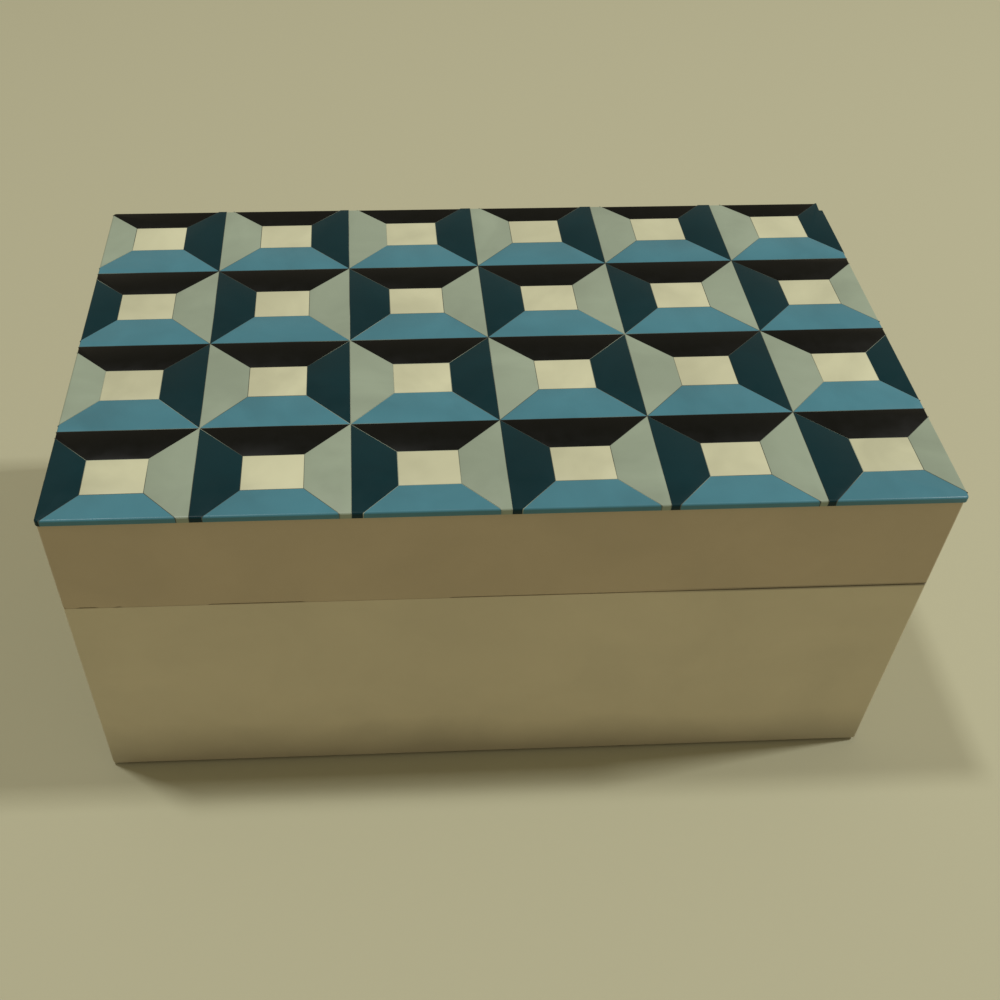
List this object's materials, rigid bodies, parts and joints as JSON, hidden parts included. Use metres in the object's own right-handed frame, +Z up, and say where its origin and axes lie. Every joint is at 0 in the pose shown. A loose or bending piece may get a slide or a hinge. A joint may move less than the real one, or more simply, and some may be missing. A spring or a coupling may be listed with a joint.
{
  "type": "wooden trinket box",
  "caption": "Rectangular wooden trinket box with a hinged lid; small polished tiles cover the lid in rows of bevelled squares.",
  "frame": {"origin": "on the table, under the middle of the box", "axes": "+X along the front to the right, front at -Y, +Z up"},
  "size_m": [0.203, 0.121, 0.096],
  "materials": {
    "lacquered_wood": "satin lacquer",
    "bare_wood": "sanded",
    "tile_white": "polished",
    "tile_black": "polished",
    "tile_blue": "polished",
    "tile_grey": "polished",
    "tile_teal": "polished",
    "hinge_brass": "satin",
    "lining_velvet": "velvet",
    "underside_felt": "felt"
  },
  "bodies": {
    "base": {"base_front_board": "lacquered_wood", "base_back_board": "lacquered_wood", "base_left_board": "lacquered_wood", "base_right_board": "lacquered_wood", "base_corner_splines": "bare_wood", "base_floor_panel": "bare_wood", "base_lining": "lining_velvet", "underside_felt": "underside_felt", "left_hinge_base_leaf": "hinge_brass", "left_hinge_pin": "hinge_brass", "right_hinge_base_leaf": "hinge_brass", "right_hinge_pin": "hinge_brass", "base_hinge_screws": "hinge_brass"},
    "lid": {"lid_front_rail": "lacquered_wood", "lid_back_rail": "lacquered_wood", "lid_left_rail": "lacquered_wood", "lid_right_rail": "lacquered_wood", "lid_corner_splines": "bare_wood", "lid_top_panel": "bare_wood", "left_hinge_lid_leaf": "hinge_brass", "right_hinge_lid_leaf": "hinge_brass", "lid_hinge_screws": "hinge_brass", "row_1_white_tiles": "tile_white", "row_1_black_tiles": "tile_black", "row_1_blue_tiles": "tile_blue", "row_1_grey_tiles": "tile_grey", "row_1_teal_tiles": "tile_teal", "row_2_white_tiles": "tile_white", "row_2_black_tiles": "tile_black", "row_2_blue_tiles": "tile_blue", "row_2_grey_tiles": "tile_grey", "row_2_teal_tiles": "tile_teal", "row_3_white_tiles": "tile_white", "row_3_black_tiles": "tile_black", "row_3_blue_tiles": "tile_blue", "row_3_grey_tiles": "tile_grey", "row_3_teal_tiles": "tile_teal", "row_4_white_tiles": "tile_white", "row_4_black_tiles": "tile_black", "row_4_blue_tiles": "tile_blue", "row_4_grey_tiles": "tile_grey", "row_4_teal_tiles": "tile_teal"}
  },
  "joints": [
    {"name": "lid_hinge", "type": "hinge", "parent": "base", "child": "lid", "pos_m": [0, 0.057, 0.066], "axis": [-1, 0, 0], "range_deg": [0, 95]}
  ]
}
